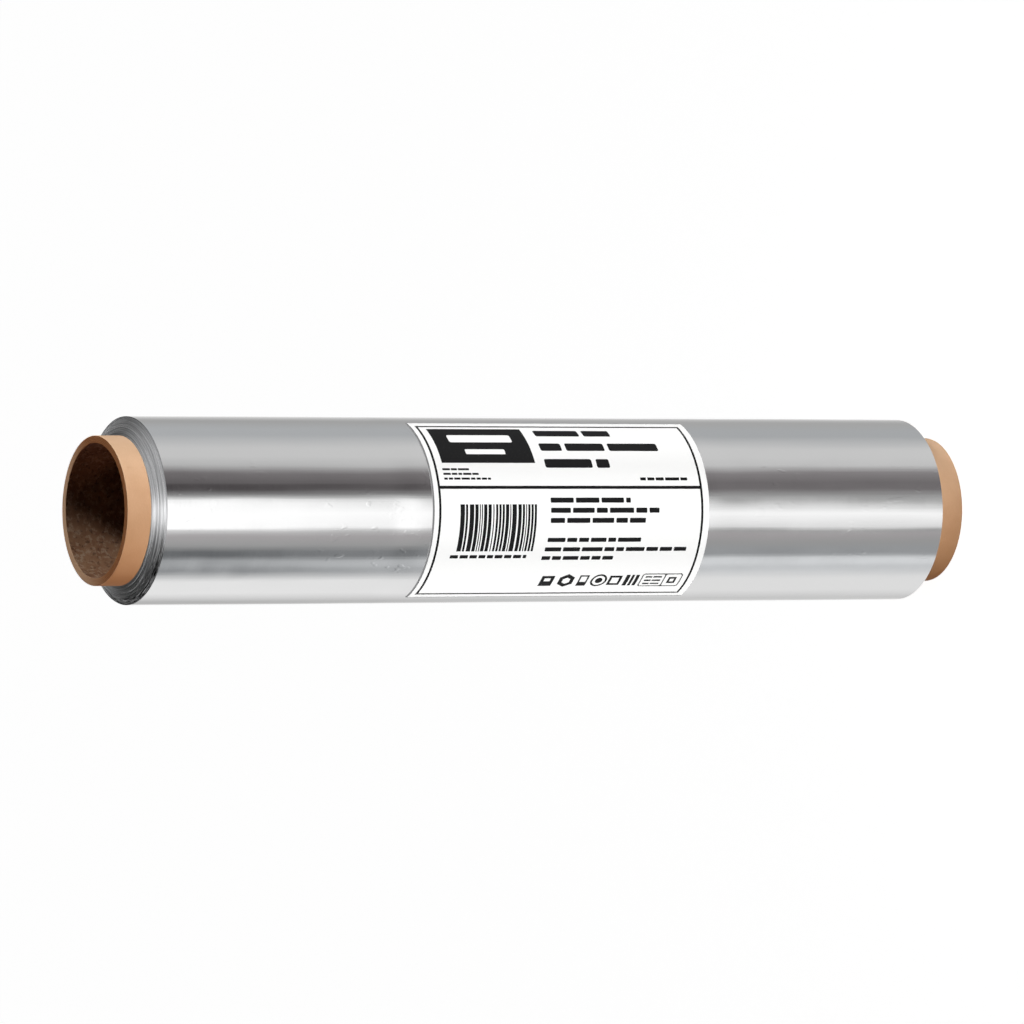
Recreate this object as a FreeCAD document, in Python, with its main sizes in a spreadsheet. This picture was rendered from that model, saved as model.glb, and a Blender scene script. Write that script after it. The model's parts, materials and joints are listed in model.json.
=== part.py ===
"""Catering roll of aluminium foil, standing on the end of its paper core.

Three pieces: the spiral-wound core, the wound foil with its turns and free edge, and a paper
label. Millimetres, +Z along the core, origin at the middle of the core's lower end. The label
faces -Y.
"""

import FreeCAD, Part
import math
import os

import Sketcher

SIZES = [
    ("foil_width", 280.0, "width of the foil web, edge to edge"),
    ("foil_build", 6.1, "depth of the wound foil, from the core outwards"),
    ("core_bore", 42.0, "inside of the paper core"),
    ("core_wall", 2.4, "thickness of the paper core"),
    ("top_stub", 10.8, "core standing out above the outermost turn"),
    ("bottom_stub", 11.2, "core standing out below the outermost turn"),
    ("mouth_break", 0.3, "bevel on the core's cut edges"),
    ("turn_bundles", 12, "bundles of turns that show as rings on the ends"),
    ("turn_drift", 2.6, "how far the innermost turns have slipped up, past the outermost"),
    ("turn_ragged", 0.3, "unevenness between one bundle of turns and the next"),
    ("tail_step", 0.15, "height of the foil's free edge above the turn below"),
    ("tail_angle", 170.0, "free edge, in degrees round from the label's middle"),
    ("bed_margin", 12.0, "from the label's edge to where the last turn sinks, in degrees"),
    ("label_length", 100.0, "label along the roll"),
    ("label_width", 70.0, "label round the roll"),
    ("label_thickness", 0.12, "paper and adhesive together"),
    ("label_setback", 92.5, "top edge of the label, below the outermost turn's edge"),
]
SIZE = {alias: value for alias, value, meaning in SIZES}

# What several pieces share: the expression that drives it, then its value for a first drawing.
CORE_RADIUS = "(Sizes.core_bore / 2 + Sizes.core_wall)"
core_radius = SIZE["core_bore"] / 2 + SIZE["core_wall"]
CORE_LENGTH = "(Sizes.bottom_stub + Sizes.foil_width + Sizes.top_stub)"
core_length = SIZE["bottom_stub"] + SIZE["foil_width"] + SIZE["top_stub"]
FOIL_RADIUS = f"({CORE_RADIUS} + Sizes.foil_build)"
foil_radius = core_radius + SIZE["foil_build"]
LABEL_HALF = f"(Sizes.label_width / 2 / {FOIL_RADIUS} * 180 / pi)"
label_half = math.degrees(SIZE["label_width"] / 2 / foil_radius)
BED_TURN = f"(-{LABEL_HALF} - Sizes.bed_margin)"
bed_turn = -label_half - SIZE["bed_margin"]

OVERCUT = 1.0  # cutting sections run this far past the material
DRIFT_CURVE = 1.5  # the drift bunches towards the outermost turns
FRONT_TURN = -90.0  # the label's middle, drawn along +X, turns to face -Y

document = FreeCAD.newDocument("foil_roll")


def make_sheet():
    """The spreadsheet that holds every driving size."""
    sheet = document.addObject("Spreadsheet::Sheet", "Sizes")
    for row, (alias, value, meaning) in enumerate(SIZES, start=1):
        sheet.set(f"A{row}", meaning)
        sheet.set(f"B{row}", str(value))
        sheet.setAlias(f"B{row}", alias)
    document.recompute()
    return sheet


def make_body(label):
    """An empty body whose label names its file."""
    body = document.addObject("PartDesign::Body", label)
    body.Label = label
    return body


def face_front(body):
    """Turns a body drawn with the label's middle along +X so that it faces -Y."""
    turn = FreeCAD.Rotation(FreeCAD.Vector(0, 0, 1), FRONT_TURN)
    body.Placement = FreeCAD.Placement(FreeCAD.Vector(0, 0, 0), turn)


def make_sketch(body, name, plane_role):
    """A sketch on one of the body's own origin planes."""
    sketch = body.newObject("Sketcher::SketchObject", name)
    plane = next(p for p in body.Origin.OriginFeatures if p.Role == plane_role)
    sketch.AttachmentSupport = [(plane, "")]
    sketch.MapMode = "FlatFace"
    return sketch


def bind(sketch, name, expression, *constraint):
    """A named dimension of the sketch, driven by the sheet."""
    index = sketch.addConstraint(Sketcher.Constraint(*constraint))
    sketch.renameConstraint(index, name)
    sketch.setExpression(f"Constraints.{name}", expression)


def polar(radius, angle):
    """A sketch point at this radius, with the angle in degrees."""
    turn = math.radians(angle)
    return FreeCAD.Vector(radius * math.cos(turn), radius * math.sin(turn), 0)


def add_arc(sketch, centre, radius, start, end):
    """An arc run anticlockwise from start to end, in degrees."""
    circle = Part.Circle(centre, FreeCAD.Vector(0, 0, 1), radius)
    arc = Part.ArcOfCircle(circle, math.radians(start), math.radians(end))
    return sketch.addGeometry(arc, False)


def add_centred_circle(sketch, name, radius, expression):
    """A circle about the roll's axis."""
    circle = Part.Circle(FreeCAD.Vector(0, 0, 0), FreeCAD.Vector(0, 0, 1), radius)
    index = sketch.addGeometry(circle, False)
    sketch.addConstraint(Sketcher.Constraint("Coincident", index, 3, -1, 1))
    bind(sketch, name, expression, "Radius", index, radius)
    return index


def pad(body, name, sketch, expression):
    """The sketch raised along +Z to the length the expression gives."""
    feature = body.newObject("PartDesign::Pad", name)
    feature.Profile = sketch
    feature.setExpression("Length", expression)
    return feature


def make_core():
    """The paper tube, cut square at both ends with its edges just broken."""
    body = make_body("core")
    ring = make_sketch(body, "core_section", "XY_Plane")
    add_centred_circle(ring, "bore", SIZE["core_bore"] / 2, "Sizes.core_bore / 2")
    add_centred_circle(ring, "outside", core_radius, CORE_RADIUS)
    tube = pad(body, "core_tube", ring, CORE_LENGTH)
    document.recompute()
    rims = [
        f"Edge{number}"
        for number, edge in enumerate(tube.Shape.Edges, start=1)
        if isinstance(edge.Curve, Part.Circle)
    ]
    bevel = body.newObject("PartDesign::Chamfer", "core_mouths")
    bevel.Base = (tube, rims)
    bevel.setExpression("Size", "Sizes.mouth_break")
    return body


def bed_arc():
    """Centre and radius of the arc that sinks from full radius to under the free edge.

    Its centre is on the line from the axis to the bedding point, so it leaves the full circle
    without a kink, and its other end is one step inside the free edge.
    """
    foot_radius = foil_radius - SIZE["tail_step"]
    spread = math.radians(360 - SIZE["tail_angle"] + bed_turn)
    along = foot_radius * math.cos(spread)
    squares = foot_radius**2 + foil_radius**2 - 2 * foil_radius * along
    radius = squares / (2 * (foil_radius - along))
    return polar(foil_radius - radius, bed_turn), radius


def draw_last_turn(sketch):
    """The roll's outline: one turn of the spiral, ending in the step of the free edge."""
    tail_turn = SIZE["tail_angle"]
    centre, sinking_radius = bed_arc()
    edge_foot = polar(foil_radius - SIZE["tail_step"], tail_turn)
    edge_top = polar(foil_radius, tail_turn)
    foot_turn = math.degrees(math.atan2(edge_foot.y - centre.y, edge_foot.x - centre.x))
    axis = FreeCAD.Vector(0, 0, 0)
    full = add_arc(sketch, axis, foil_radius, bed_turn, tail_turn)
    sinking = add_arc(sketch, centre, sinking_radius, foot_turn, 360 + bed_turn)
    edge = sketch.addGeometry(Part.LineSegment(edge_foot, edge_top), False)
    ray = sketch.addGeometry(Part.LineSegment(axis, polar(foil_radius, bed_turn)), True)
    for pair in (
        ("Coincident", full, 3, -1, 1),
        ("Coincident", full, 2, edge, 2),
        ("Coincident", sinking, 1, edge, 1),
        ("Tangent", sinking, 2, full, 1),
        ("PointOnObject", -1, 1, edge),
        ("Coincident", ray, 1, -1, 1),
        ("Coincident", ray, 2, full, 1),
    ):
        sketch.addConstraint(Sketcher.Constraint(*pair))
    bind(sketch, "roll_radius", FOIL_RADIUS, "Radius", full, foil_radius)
    bind(sketch, "free_edge", "Sizes.tail_step", "Distance", edge, SIZE["tail_step"])
    bind(sketch, "edge_turn", "Sizes.tail_angle * 1 deg", "Angle", edge, math.radians(tail_turn))
    bind(sketch, "bed_turn", f"{BED_TURN} * 1 deg", "Angle", ray, math.radians(bed_turn))


def ring_radius(number):
    """Where a bundle of turns begins, counted from the core: value and expression."""
    value = core_radius + SIZE["foil_build"] * number / SIZE["turn_bundles"]
    return value, f"{CORE_RADIUS} + Sizes.foil_build * {number} / Sizes.turn_bundles"


def ring_height(number, upper):
    """Where a bundle's upper or lower edge lies: value and expression.

    The innermost bundle has slipped furthest up and the outermost not at all. Those between
    also stand unevenly, by a repeating series of five.
    """
    outermost = SIZE["turn_bundles"] - 1
    drift = 1 - (number / outermost) ** DRIFT_CURVE
    uneven = ((number * 7) % 5 - 2) / 2 if 0 < number < outermost else 0
    value = SIZE["bottom_stub"] + SIZE["turn_drift"] * drift + SIZE["turn_ragged"] * uneven
    slip = f"Sizes.turn_drift * {drift:.4f} + Sizes.turn_ragged * {uneven}"
    expression = f"Sizes.bottom_stub + {slip}"
    if upper:
        return value + SIZE["foil_width"], f"{expression} + Sizes.foil_width"
    return value, expression


def shifted(size, amount):
    """The same value and expression with a fixed amount added."""
    value, expression = size
    return value + amount, f"{expression} + {amount}"


def draw_turn_ends(sketch, upper):
    """The stepped section that trims one end of the winding back to its turns' edges."""
    count = SIZE["turn_bundles"]
    radii = [ring_radius(number) for number in range(count + 1)]
    radii[0] = shifted(radii[0], -OVERCUT)
    radii[-1] = shifted(radii[-1], OVERCUT)
    heights = [ring_height(number, upper) for number in range(count)]
    beyond = shifted((core_length, CORE_LENGTH), OVERCUT)
    clear = beyond if upper else (-OVERCUT, str(-OVERCUT))

    corners = [(radii[0][0], clear[0])]
    for number in range(count):
        level = heights[number][0]
        corners += [(radii[number][0], level), (radii[number + 1][0], level)]
    corners.append((radii[-1][0], clear[0]))
    points = [FreeCAD.Vector(x, y, 0) for x, y in corners]
    lines = [
        sketch.addGeometry(Part.LineSegment(start, end), False)
        for start, end in zip(points, points[1:] + points[:1])
    ]
    for place, line in enumerate(lines):
        following = lines[(place + 1) % len(lines)]
        upright = place % 2 == 0 and place < len(lines) - 1
        sketch.addConstraint(Sketcher.Constraint("Coincident", line, 2, following, 1))
        sketch.addConstraint(Sketcher.Constraint("Vertical" if upright else "Horizontal", line))
    for number, (value, expression) in enumerate(radii):
        place = ("DistanceX", -1, 1, lines[2 * number], 1, value)
        bind(sketch, f"radius_{number}", expression, *place)
    for number, (value, expression) in enumerate(heights):
        place = ("DistanceY", -1, 1, lines[2 * number + 1], 1, value)
        bind(sketch, f"height_{number}", expression, *place)
    bind(sketch, "clear_level", clear[1], "DistanceY", -1, 1, lines[0], 1, clear[0])


def make_foil():
    """All the turns as one solid, with ringed ends and the free edge down its back."""
    body = make_body("foil")
    outline = make_sketch(body, "last_turn", "XY_Plane")
    draw_last_turn(outline)
    add_centred_circle(outline, "wound_on", core_radius, CORE_RADIUS)
    pad(body, "winding", outline, CORE_LENGTH)
    for name, upper in (("upper_turn_edges", True), ("lower_turn_edges", False)):
        steps = make_sketch(body, f"{name}_section", "XZ_Plane")
        draw_turn_ends(steps, upper)
        trim = body.newObject("PartDesign::Groove", name)
        trim.Profile = steps
        trim.ReferenceAxis = (steps, ["V_Axis"])
        trim.Angle = 360
    face_front(body)
    return body


def make_label():
    """The paper label, lying on the full-radius part of the last turn."""
    body = make_body("label")
    sketch = make_sketch(body, "label_section", "XY_Plane")
    outer_radius = foil_radius + SIZE["label_thickness"]
    axis = FreeCAD.Vector(0, 0, 0)
    under = add_arc(sketch, axis, foil_radius, -label_half, label_half)
    over = add_arc(sketch, axis, outer_radius, -label_half, label_half)
    ends = [
        sketch.addGeometry(Part.LineSegment(polar(foil_radius, turn), polar(outer_radius, turn)))
        for turn in (-label_half, label_half)
    ]
    for arc in (under, over):
        sketch.addConstraint(Sketcher.Constraint("Coincident", arc, 3, -1, 1))
    for which, end in enumerate(ends, start=1):
        sketch.addConstraint(Sketcher.Constraint("Coincident", end, 1, under, which))
        sketch.addConstraint(Sketcher.Constraint("Coincident", end, 2, over, which))
        sketch.addConstraint(Sketcher.Constraint("PointOnObject", -1, 1, end))
    face = f"{FOIL_RADIUS} + Sizes.label_thickness"
    half = math.radians(label_half)
    bind(sketch, "underside", FOIL_RADIUS, "Radius", under, foil_radius)
    bind(sketch, "face", face, "Radius", over, outer_radius)
    bind(sketch, "first_edge", f"-{LABEL_HALF} * 1 deg", "Angle", ends[0], -half)
    bind(sketch, "second_edge", f"{LABEL_HALF} * 1 deg", "Angle", ends[1], half)
    pad(body, "label_paper", sketch, "Sizes.label_length")
    face_front(body)
    foot = "Sizes.bottom_stub + Sizes.foil_width - Sizes.label_setback - Sizes.label_length"
    body.setExpression("Placement.Base.z", foot)
    return body


def check(bodies):
    """Stops if any object failed or any piece is not one valid solid."""
    for item in document.Objects:
        if "Invalid" in item.State or "Error" in item.State:
            raise RuntimeError(f"{item.Name} failed: {item.State}")
    for body in bodies:
        shape = body.Shape
        if shape.isNull() or not shape.isValid() or len(shape.Solids) != 1:
            raise RuntimeError(f"{body.Label} is not one valid solid")


def main():
    """Builds the three pieces and writes one file for each."""
    make_sheet()
    bodies = [make_core(), make_foil(), make_label()]
    document.recompute()
    check(bodies)
    os.makedirs("parts", exist_ok=True)
    for body in bodies:
        body.Shape.exportStep(f"parts/{body.Label}.step")
        box = body.Shape.BoundBox
        volume = body.Shape.Volume / 1000
        print(f"{body.Label}: {volume:.2f} cm3, z {box.ZMin:.2f} to {box.ZMax:.2f} mm")


main()
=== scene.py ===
# %% [markdown]
# # A catering roll of aluminium foil
#
# The object is a long web of thin foil wound on a brown paper core, with one white label stuck
# round its middle. It stands on the end of its core. Three things give it its look: a metal wall
# that mirrors the studio in straight bands, the fine edges of hundreds of turns at its ends, and
# plain matt board and paper beside that bright metal. The lesson makes the pieces in that order,
# then their finishes, then the studio.
#
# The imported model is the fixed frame. Each piece made here takes its sizes from it and stands
# exactly where its solid stands.

import json
import math
import random

import bpy
import numpy as np
from mathutils import Matrix, Vector, geometry, noise


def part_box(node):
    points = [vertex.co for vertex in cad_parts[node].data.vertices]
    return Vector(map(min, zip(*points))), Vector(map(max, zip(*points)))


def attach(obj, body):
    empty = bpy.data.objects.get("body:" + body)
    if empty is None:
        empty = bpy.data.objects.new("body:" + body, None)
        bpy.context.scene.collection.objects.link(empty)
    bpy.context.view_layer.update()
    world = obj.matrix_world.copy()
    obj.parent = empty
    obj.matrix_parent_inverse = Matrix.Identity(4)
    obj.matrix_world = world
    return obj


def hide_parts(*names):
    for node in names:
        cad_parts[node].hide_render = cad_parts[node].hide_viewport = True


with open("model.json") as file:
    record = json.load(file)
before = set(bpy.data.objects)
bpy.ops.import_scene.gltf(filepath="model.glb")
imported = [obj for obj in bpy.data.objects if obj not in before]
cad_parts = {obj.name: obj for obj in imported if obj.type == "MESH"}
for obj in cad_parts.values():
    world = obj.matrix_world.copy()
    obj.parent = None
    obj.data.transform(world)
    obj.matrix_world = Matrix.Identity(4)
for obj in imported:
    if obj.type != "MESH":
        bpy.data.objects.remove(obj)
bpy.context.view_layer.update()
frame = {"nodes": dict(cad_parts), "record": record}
MM = 0.001
print("packed nodes:", sorted(frame["nodes"]))

# %% [markdown]
# ## Sizes from the frame
#
# Every radius and level can be read from the boxes of the three solids and from the bore that
# the record states. Reading them, and not typing them again, keeps this scene right when the
# solids change. The label's box also says how far round the roll the paper reaches.

# %% Read the radii and levels
core_low, core_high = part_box("core")
foil_low, foil_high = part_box("foil")
label_low, label_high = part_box("label")
bore_mount = next(m for m in frame["record"]["mounts"] if m["name"] == "core_bore")

bore_radius = bore_mount["dims"]["r_mm"] * MM
core_radius = core_high.x
foil_radius = foil_high.x
paper_radius = -label_low.y
label_half_turn = math.asin(label_high.x / paper_radius)
label_top, label_bottom = label_high.z, label_low.z
print("radii in mm:", [round(r / MM, 2) for r in (bore_radius, core_radius, foil_radius)])
print("label reaches", round(math.degrees(label_half_turn), 1), "degrees each way")

# %% [markdown]
# ## The camera
#
# The picture shows the roll lying across the frame, seen from its near end. A long lens makes
# its sides almost parallel. The roll stands here, so the camera is turned on its side: the top
# end of the roll points left in the picture, and +X points up. Elevation, distance and lens were
# fitted to the rims of the roll, so they are plain settings, aimed at a point on the axis.

# %% Stand the camera
CAMERA_ELEVATION = math.radians(28.7)
CAMERA_DISTANCE = 2.646
CAMERA_LENS = 291.6
CAMERA_ROLL = math.radians(-0.09)
AIM_BELOW_RIM = 0.137
AIM_ASIDE = -0.0006
TURN_DRIFT = 2.6 * MM

rim_top = foil_high.z - TURN_DRIFT
aim = Vector((AIM_ASIDE, 0, rim_top - AIM_BELOW_RIM))
back = Vector((0, -math.cos(CAMERA_ELEVATION), math.sin(CAMERA_ELEVATION)))
picture_up = Matrix.Rotation(CAMERA_ROLL, 3, back) @ Vector((1, 0, 0))
picture_right = picture_up.cross(back)

camera_data = bpy.data.cameras.new("camera")
camera_data.lens = CAMERA_LENS
camera_data.clip_end = 50
camera = bpy.data.objects.new("camera", camera_data)
turned = Matrix((picture_right, picture_up, back)).transposed().to_4x4()
camera.matrix_world = Matrix.Translation(aim + back * CAMERA_DISTANCE) @ turned
bpy.context.scene.collection.objects.link(camera)
bpy.context.scene.camera = camera
print("camera at", [round(c, 3) for c in camera.location])

# %% [markdown]
# ## Skins made from rows of points
#
# Each piece here is a sheet of points in rows and columns, bent round the axis. A primitive could
# give a tube, but not a wavy free edge or the slipped turns. So one helper joins any grid of
# points with four-sided faces, and each piece only has to say where its points are.


# %% A helper that skins a grid of points
def skin(columns, rows, first=0, wraps=False):
    """Faces joining a grid of points stored row after row, as lists of point numbers."""
    reach = columns if wraps else columns - 1
    column = np.arange(reach)
    beside = (column + 1) % columns
    faces = []
    for row in range(rows - 1):
        low = first + row * columns
        high = low + columns
        quads = np.stack([low + column, low + beside, high + beside, high + column], axis=1)
        faces.extend(quads.tolist())
    return faces


def make_piece(name, points, faces, finishes, marks=None, sharp=35.0):
    """A named mesh object with smooth faces, creased where the surface turns sharply."""
    mesh = bpy.data.meshes.new(name)
    mesh.from_pydata(points, [], faces)
    for finish in finishes:
        mesh.materials.append(finish)
    if marks is not None:
        mesh.polygons.foreach_set("material_index", marks)
    mesh.polygons.foreach_set("use_smooth", [True] * len(mesh.polygons))
    mesh.set_sharp_from_angle(angle=math.radians(sharp))
    mesh.validate()
    piece = bpy.data.objects.new(name, mesh)
    bpy.context.scene.collection.objects.link(piece)
    triangles = sum(len(face) - 2 for face in faces)
    print(name, "has", len(points), "points and", triangles, "triangles")
    return piece


# %% [markdown]
# ## Building finishes from nodes
#
# A finish is a small tree of nodes round one Principled shader. Wiring nodes by hand takes four
# lines for each, which hides the idea, so a few helpers add a node, feed a socket with either a
# number or another node, and make the soft cloudy pattern that nearly every finish needs.


# %% Helpers for node trees
def add_node(tree, kind, **settings):
    """A new node with its settings."""
    node = tree.nodes.new(kind)
    for name, value in settings.items():
        setattr(node, name, value)
    return node


def feed(tree, socket, source):
    """Gives a socket its value: another node's output, or a plain number or colour."""
    if isinstance(source, bpy.types.NodeSocket):
        tree.links.new(source, socket)
    else:
        socket.default_value = source


def calc(tree, operation, *values):
    """The result of one Math node."""
    node = add_node(tree, "ShaderNodeMath", operation=operation)
    for socket, value in zip(node.inputs, values):
        feed(tree, socket, value)
    return node.outputs[0]


def ease(tree, value, start, end, low=0.0, high=1.0):
    """A smooth change from low to high while the value goes from start to end."""
    node = add_node(tree, "ShaderNodeMapRange", interpolation_type="SMOOTHSTEP")
    for socket, number in zip(node.inputs, (value, start, end, low, high)):
        feed(tree, socket, number)
    return node.outputs[0]


def blend_colours(tree, share, first, second):
    """One colour turning into another."""
    node = add_node(tree, "ShaderNodeMix", data_type="RGBA")
    feed(tree, node.inputs["Factor"], share)
    feed(tree, node.inputs[6], first)
    feed(tree, node.inputs[7], second)
    return node.outputs[2]


def clouds(tree, place, size, detail=2.0, roughness=0.5):
    """A soft cloudy pattern whose blobs are about this many metres across."""
    node = add_node(tree, "ShaderNodeTexNoise")
    feed(tree, node.inputs["Vector"], place)
    feed(tree, node.inputs["Scale"], 1 / size)
    feed(tree, node.inputs["Detail"], detail)
    feed(tree, node.inputs["Roughness"], roughness)
    return node.outputs["Fac"]


def stretched(tree, x=1.0, y=1.0, z=1.0):
    """The object's own coordinates, squeezed along each axis."""
    place = add_node(tree, "ShaderNodeTexCoord").outputs["Object"]
    node = add_node(tree, "ShaderNodeVectorMath", operation="MULTIPLY")
    feed(tree, node.inputs[0], place)
    feed(tree, node.inputs[1], (x, y, z))
    return node.outputs[0]


def split(tree, vector):
    """The X, Y and Z of a vector."""
    node = add_node(tree, "ShaderNodeSeparateXYZ")
    feed(tree, node.inputs[0], vector)
    return node.outputs


def relief(tree, height, depth, under=None):
    """A bump of this depth in metres, on top of another bump where one is given."""
    node = add_node(tree, "ShaderNodeBump")
    feed(tree, node.inputs["Height"], height)
    feed(tree, node.inputs["Distance"], depth)
    if under is not None:
        feed(tree, node.inputs["Normal"], under)
    return node.outputs["Normal"]


def new_finish(name):
    """An empty material: the material, its tree and its Principled shader."""
    finish = bpy.data.materials.new(name)
    finish.use_nodes = True
    tree = finish.node_tree
    return finish, tree, tree.nodes["Principled BSDF"]


def shade(red, green, blue):
    """A colour given from 0 to 255, as the linear colour that a shader wants."""
    return tuple(((c / 255) / 12.92 if c <= 10 else ((c / 255 + 0.055) / 1.055) ** 2.4)
                 for c in (red, green, blue)) + (1.0,)


# %% [markdown]
# ## Three finishes for the board
#
# The core is wound from strips of recycled paper. Its outer strip is smooth kraft, its inner ones
# are dark and speckled, and the saw leaves a dull brown ring where it cuts them. One material with
# painted areas would do, but three materials keep each one easy to read. Kraft gets long pale
# fibres and a slow mottling, the inside gets blotches with dark and pale flecks, and the cut ring
# gets thin layers that follow the radius, with pale dust lying on one side of it.


# %% Kraft outside
def kraft_finish():
    finish, tree, shader = new_finish("kraft_outside")
    slow = clouds(tree, stretched(tree), 9 * MM, detail=3)
    fibres = clouds(tree, stretched(tree, z=3.5), 0.7 * MM, detail=4, roughness=0.62)
    tone = calc(tree, "MULTIPLY_ADD", fibres, 0.45, calc(tree, "MULTIPLY", slow, 0.55))
    colour = blend_colours(tree, ease(tree, tone, 0.32, 0.68), KRAFT_SHADOW, KRAFT_LIGHT)
    feed(tree, shader.inputs["Base Color"], colour)
    feed(tree, shader.inputs["Roughness"], ease(tree, fibres, 0.3, 0.7, low=0.62, high=0.78))
    shader.inputs["Specular IOR Level"].default_value = 0.3
    feed(tree, shader.inputs["Normal"], relief(tree, fibres, 0.06 * MM))
    return finish


KRAFT_LIGHT = (0.735, 0.485, 0.308, 1.0)
KRAFT_SHADOW = (0.665, 0.42, 0.255, 1.0)
kraft = kraft_finish()


# %% Speckled inside
def inside_finish():
    finish, tree, shader = new_finish("board_inside")
    place = stretched(tree)
    blotches = clouds(tree, place, 7 * MM, detail=5, roughness=0.65)
    flecks = clouds(tree, place, 1.5 * MM, detail=4, roughness=0.66)
    specks = clouds(tree, stretched(tree, z=1.3), 1.3 * MM, detail=2, roughness=0.5)
    ground = blend_colours(tree, ease(tree, blotches, 0.3, 0.7), BOARD_DARK, BOARD_BROWN)
    pale = calc(tree, "MULTIPLY", ease(tree, flecks, 0.5, 0.64), 0.75)
    speckled = blend_colours(tree, pale, ground, BOARD_FLECK)
    dark = calc(tree, "MULTIPLY", ease(tree, specks, 0.44, 0.3), 0.6)
    colour = blend_colours(tree, dark, speckled, BOARD_SPECK)
    feed(tree, shader.inputs["Base Color"], colour)
    shader.inputs["Roughness"].default_value = 0.85
    shader.inputs["Specular IOR Level"].default_value = 0.15
    feed(tree, shader.inputs["Normal"], relief(tree, flecks, 0.07 * MM))
    return finish


BOARD_DARK = (0.158, 0.07, 0.036, 1.0)
BOARD_BROWN = (0.262, 0.148, 0.084, 1.0)
BOARD_FLECK = (0.36, 0.25, 0.17, 1.0)
BOARD_SPECK = (0.04, 0.015, 0.009, 1.0)
board_inside = inside_finish()


# %% Sawn ring
def sawn_finish():
    finish, tree, shader = new_finish("board_sawn")
    place = stretched(tree)
    parts = split(tree, place)
    across = calc(tree, "POWER", parts["X"], 2)
    over = calc(tree, "POWER", parts["Y"], 2)
    radius = calc(tree, "SQRT", calc(tree, "ADD", across, over))
    plies = calc(tree, "PINGPONG", calc(tree, "DIVIDE", radius, PLY_THICKNESS), 0.5)
    fuzz = clouds(tree, place, 0.5 * MM, detail=4, roughness=0.65)
    mixed = calc(tree, "MULTIPLY_ADD", fuzz, 0.9, plies)
    colour = blend_colours(tree, ease(tree, mixed, 0.35, 0.95), SAWN_DARK, SAWN_LIGHT)
    lean = calc(tree, "MULTIPLY_ADD", parts["X"], -0.35, parts["Y"])
    dusty = calc(tree, "MULTIPLY", ease(tree, lean, DUST_FROM, DUST_FULL), DUST_SHARE)
    feed(tree, shader.inputs["Base Color"], blend_colours(tree, dusty, colour, SAWN_DUST))
    shader.inputs["Roughness"].default_value = 0.9
    shader.inputs["Specular IOR Level"].default_value = 0.1
    feed(tree, shader.inputs["Normal"], relief(tree, fuzz, 0.15 * MM))
    return finish


PLY_THICKNESS = 0.48 * MM
DUST_FROM = -4 * MM
DUST_FULL = 20 * MM
DUST_SHARE = 0.65
SAWN_DARK = (0.175, 0.064, 0.022, 1.0)
SAWN_LIGHT = (0.355, 0.158, 0.066, 1.0)
SAWN_DUST = (0.69, 0.485, 0.32, 1.0)
board_sawn = sawn_finish()

# %% [markdown]
# ## The core
#
# The core is one tube: strips of paper glued in a helix and sawn square. The skin starts low on
# the outside, goes up over the rim, down the bore and under the foot, and closes on itself. The
# saw's edges are just broken, and the bore shows a shallow helical seam where the innermost strip
# meets itself. The seam is real relief, since it catches the light at the mouth. The foil doesn't
# mirror the core here: on the slanted ends that would only spread a brown haze over the metal.

# %% Wind the core
KRAFT, INSIDE, SAWN = 0, 1, 2
CORE_COLUMNS = 192
STUB_ROWS = 8
STUB_TUCK = 4 * MM
BORE_ROWS = 130
MOUTH_BREAK = 0.15 * MM
SEAM_PITCH = 118 * MM
SEAM_DEPTH = 0.16 * MM
SEAM_WIDTH = 1.1 * MM


def core_outline():
    """Radius, level and finish along one cut through the tube's wall."""
    soft = [(math.sin(a), math.cos(a)) for a in np.radians([0, 22.5, 45, 67.5, 90])]
    top, bottom = core_high.z, core_low.z
    outline = []
    wall = core_radius - bore_radius - 2 * MOUTH_BREAK

    def corner(radius, level, inwards, down, steps, mark):
        """Steps round a broken edge: inwards and down are 1 or -1, from radius and level."""
        for lift, out in steps:
            aside = inwards * MOUTH_BREAK * (1 - out)
            outline.append((radius - aside, level - down * MOUTH_BREAK * (1 - lift), mark))

    for level in np.linspace(bottom + MOUTH_BREAK, foil_low.z + STUB_TUCK, STUB_ROWS):
        outline.append((core_radius, level, KRAFT))
    for level in np.linspace(foil_high.z - STUB_TUCK, top - MOUTH_BREAK, STUB_ROWS):
        outline.append((core_radius, level, KRAFT))
    corner(core_radius, top, 1, 1, soft[1:], KRAFT)
    for share in (0.25, 0.5, 0.75):
        outline.append((core_radius - MOUTH_BREAK - wall * share, top, SAWN))
    corner(bore_radius, top, -1, 1, soft[::-1], SAWN)
    for level in np.linspace(top - MOUTH_BREAK, bottom + MOUTH_BREAK, BORE_ROWS)[1:]:
        outline.append((bore_radius, level, INSIDE))
    corner(bore_radius, bottom, -1, -1, soft[1:], SAWN)
    corner(core_radius, bottom, 1, -1, soft[:0:-1], SAWN)
    return outline


def core_point(radius, level, turn):
    """A point of the tube, sunk where the helical seam runs down the bore."""
    if radius == bore_radius:
        along = (level + SEAM_PITCH * turn / math.tau) % SEAM_PITCH
        from_seam = min(along, SEAM_PITCH - along) / SEAM_WIDTH
        radius += SEAM_DEPTH * math.exp(-from_seam**2)
    return (radius * math.cos(turn), radius * math.sin(turn), level)


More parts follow.
